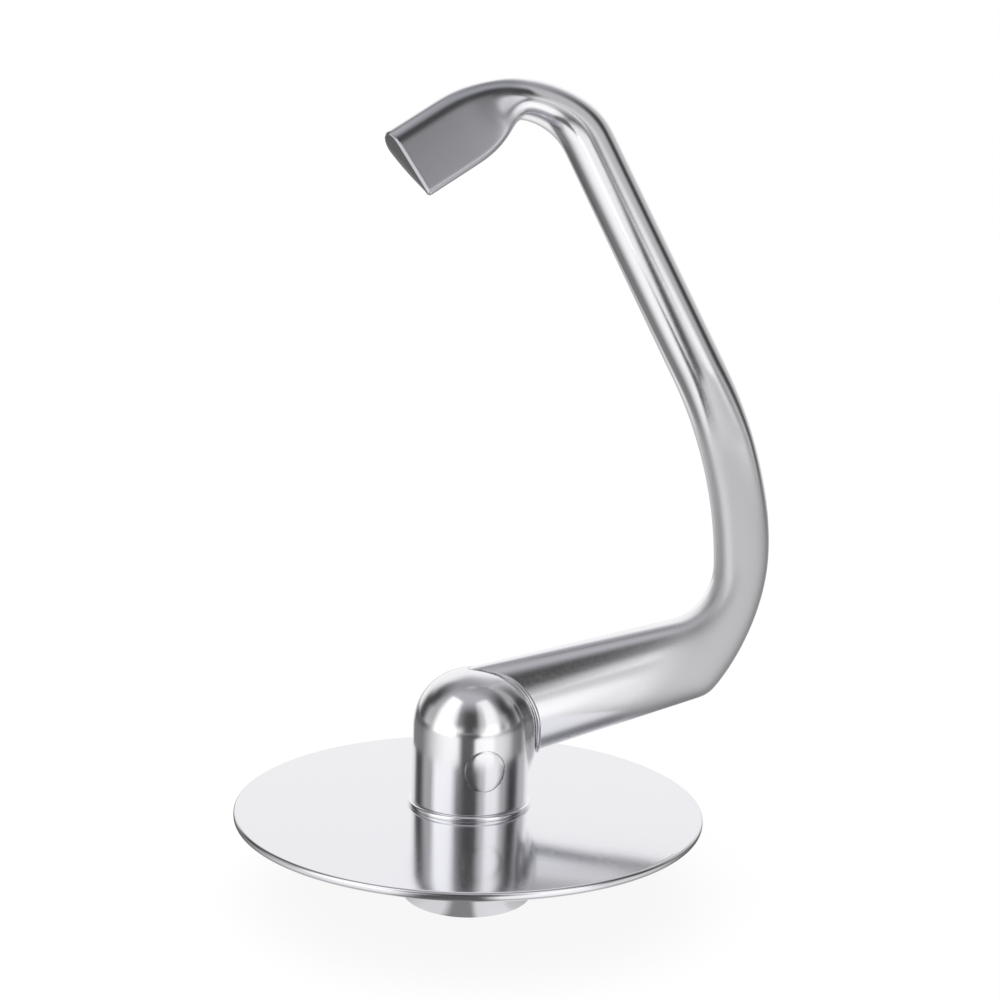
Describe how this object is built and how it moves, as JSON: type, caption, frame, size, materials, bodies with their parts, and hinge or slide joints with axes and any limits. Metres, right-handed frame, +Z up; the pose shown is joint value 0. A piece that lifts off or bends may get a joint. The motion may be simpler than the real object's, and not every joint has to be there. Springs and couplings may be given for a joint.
{
  "type": "dough hook",
  "caption": "C-shaped mixer dough hook of polished steel with a round dough shield, a bullet-nosed hub and a bayonet drive collar that locks on the mixer's shaft.",
  "frame": {"origin": "centre of the drive collar's mouth, on the bore's axis", "axes": "+Z up the bore, from the collar's mouth to the hub's nose; +X from the hub's axis toward the hook's bow; the hook lies in the XZ plane"},
  "size_m": [0.1033, 0.088, 0.152],
  "materials": {
    "hub_steel": "mirror polished stainless steel",
    "arm_steel": "mirror polished stainless steel",
    "shield_steel": "mirror polished stainless steel",
    "ring_steel": "polished stainless steel",
    "bush_steel": "fine turned stainless steel",
    "dowel_steel": "polished flush with the hub"
  },
  "bodies": {
    "root": {"hub": "hub_steel", "hook_arm": "arm_steel", "dough_shield": "shield_steel", "foot_ring": "ring_steel", "drive_bush": "bush_steel", "lock_dowel": "dowel_steel"}
  },
  "joints": []
}
